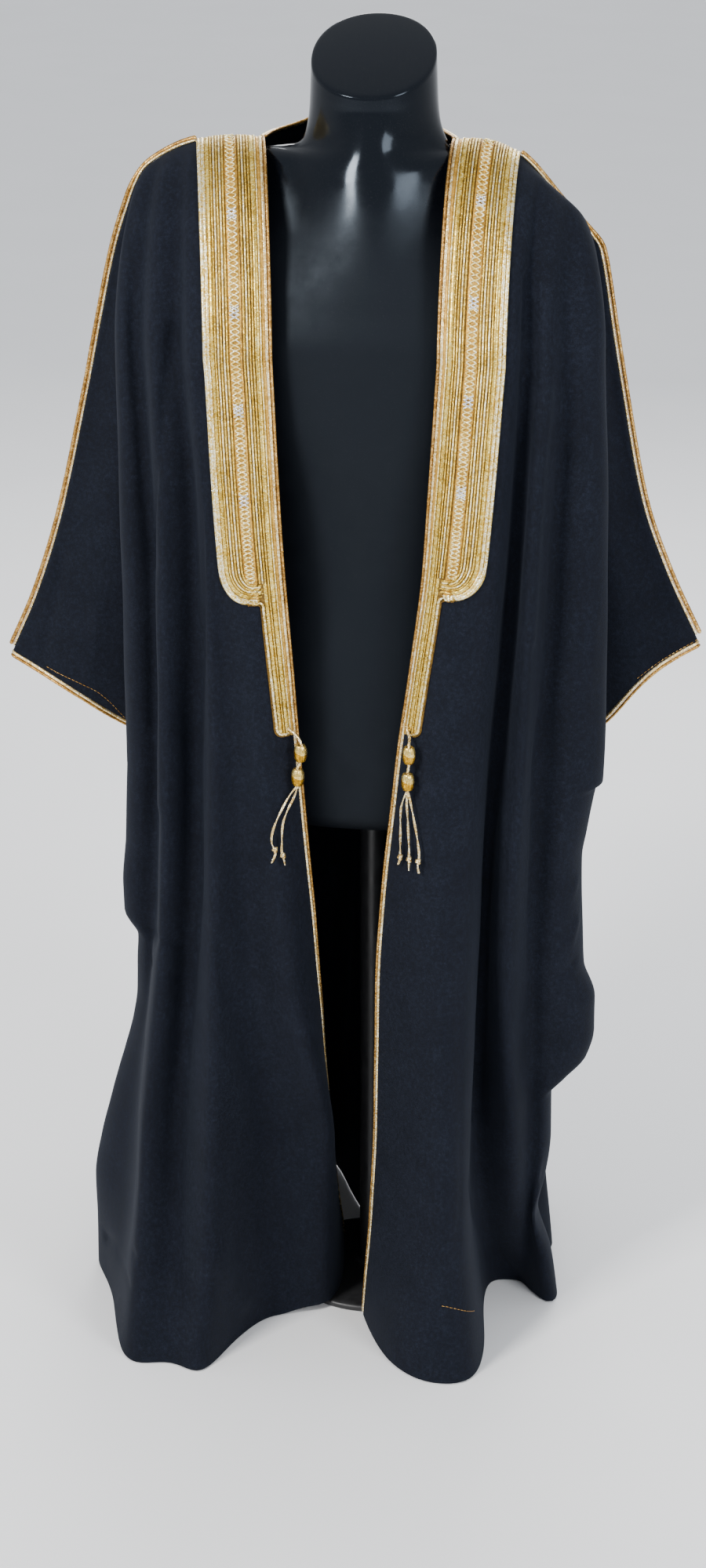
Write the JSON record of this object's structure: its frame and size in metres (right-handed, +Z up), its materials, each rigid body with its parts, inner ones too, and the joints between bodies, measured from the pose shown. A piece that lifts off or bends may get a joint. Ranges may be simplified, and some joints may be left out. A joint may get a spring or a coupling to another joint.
{
  "type": "bisht cloak on a dress form",
  "caption": "Open-fronted full-length cloak with gold braid bands, corded edges and tassels, draped on a limbless black dress form with pole and round base.",
  "frame": {"origin": "the middle of the stand's base, on the floor", "axes": "+Z up, the open front faces -Y, +X to the right of someone who faces the cloak"},
  "size_m": [0.7565, 0.4743, 1.4287],
  "materials": {
    "cloth": "fine wool, slight sheen",
    "zari_braid": "gold and silver thread braid",
    "rope_piping": "twisted gold thread cord",
    "gold_bead": "bead wound with gold thread",
    "form_gloss": "high gloss",
    "stand_black": "satin black"
  },
  "bodies": {
    "root": {"back": "cloth", "band_panel_left": "zari_braid", "band_panel_right": "zari_braid", "band_strip_left": "zari_braid", "band_strip_right": "zari_braid", "bead_left_1": "gold_bead", "bead_left_2": "gold_bead", "bead_right_1": "gold_bead", "bead_right_2": "gold_bead", "cuff_piping_left": "rope_piping", "cuff_piping_right": "rope_piping", "edge_piping_left": "rope_piping", "edge_piping_right": "rope_piping", "form_base": "stand_black", "form_pole": "stand_black", "form_torso": "form_gloss", "front_left": "cloth", "front_right": "cloth", "neck_piping": "rope_piping", "shoulder_piping_left": "rope_piping", "shoulder_piping_right": "rope_piping", "sleeve_left": "cloth", "sleeve_right": "cloth", "tassel_left": "rope_piping", "tassel_right": "rope_piping"}
  },
  "joints": []
}
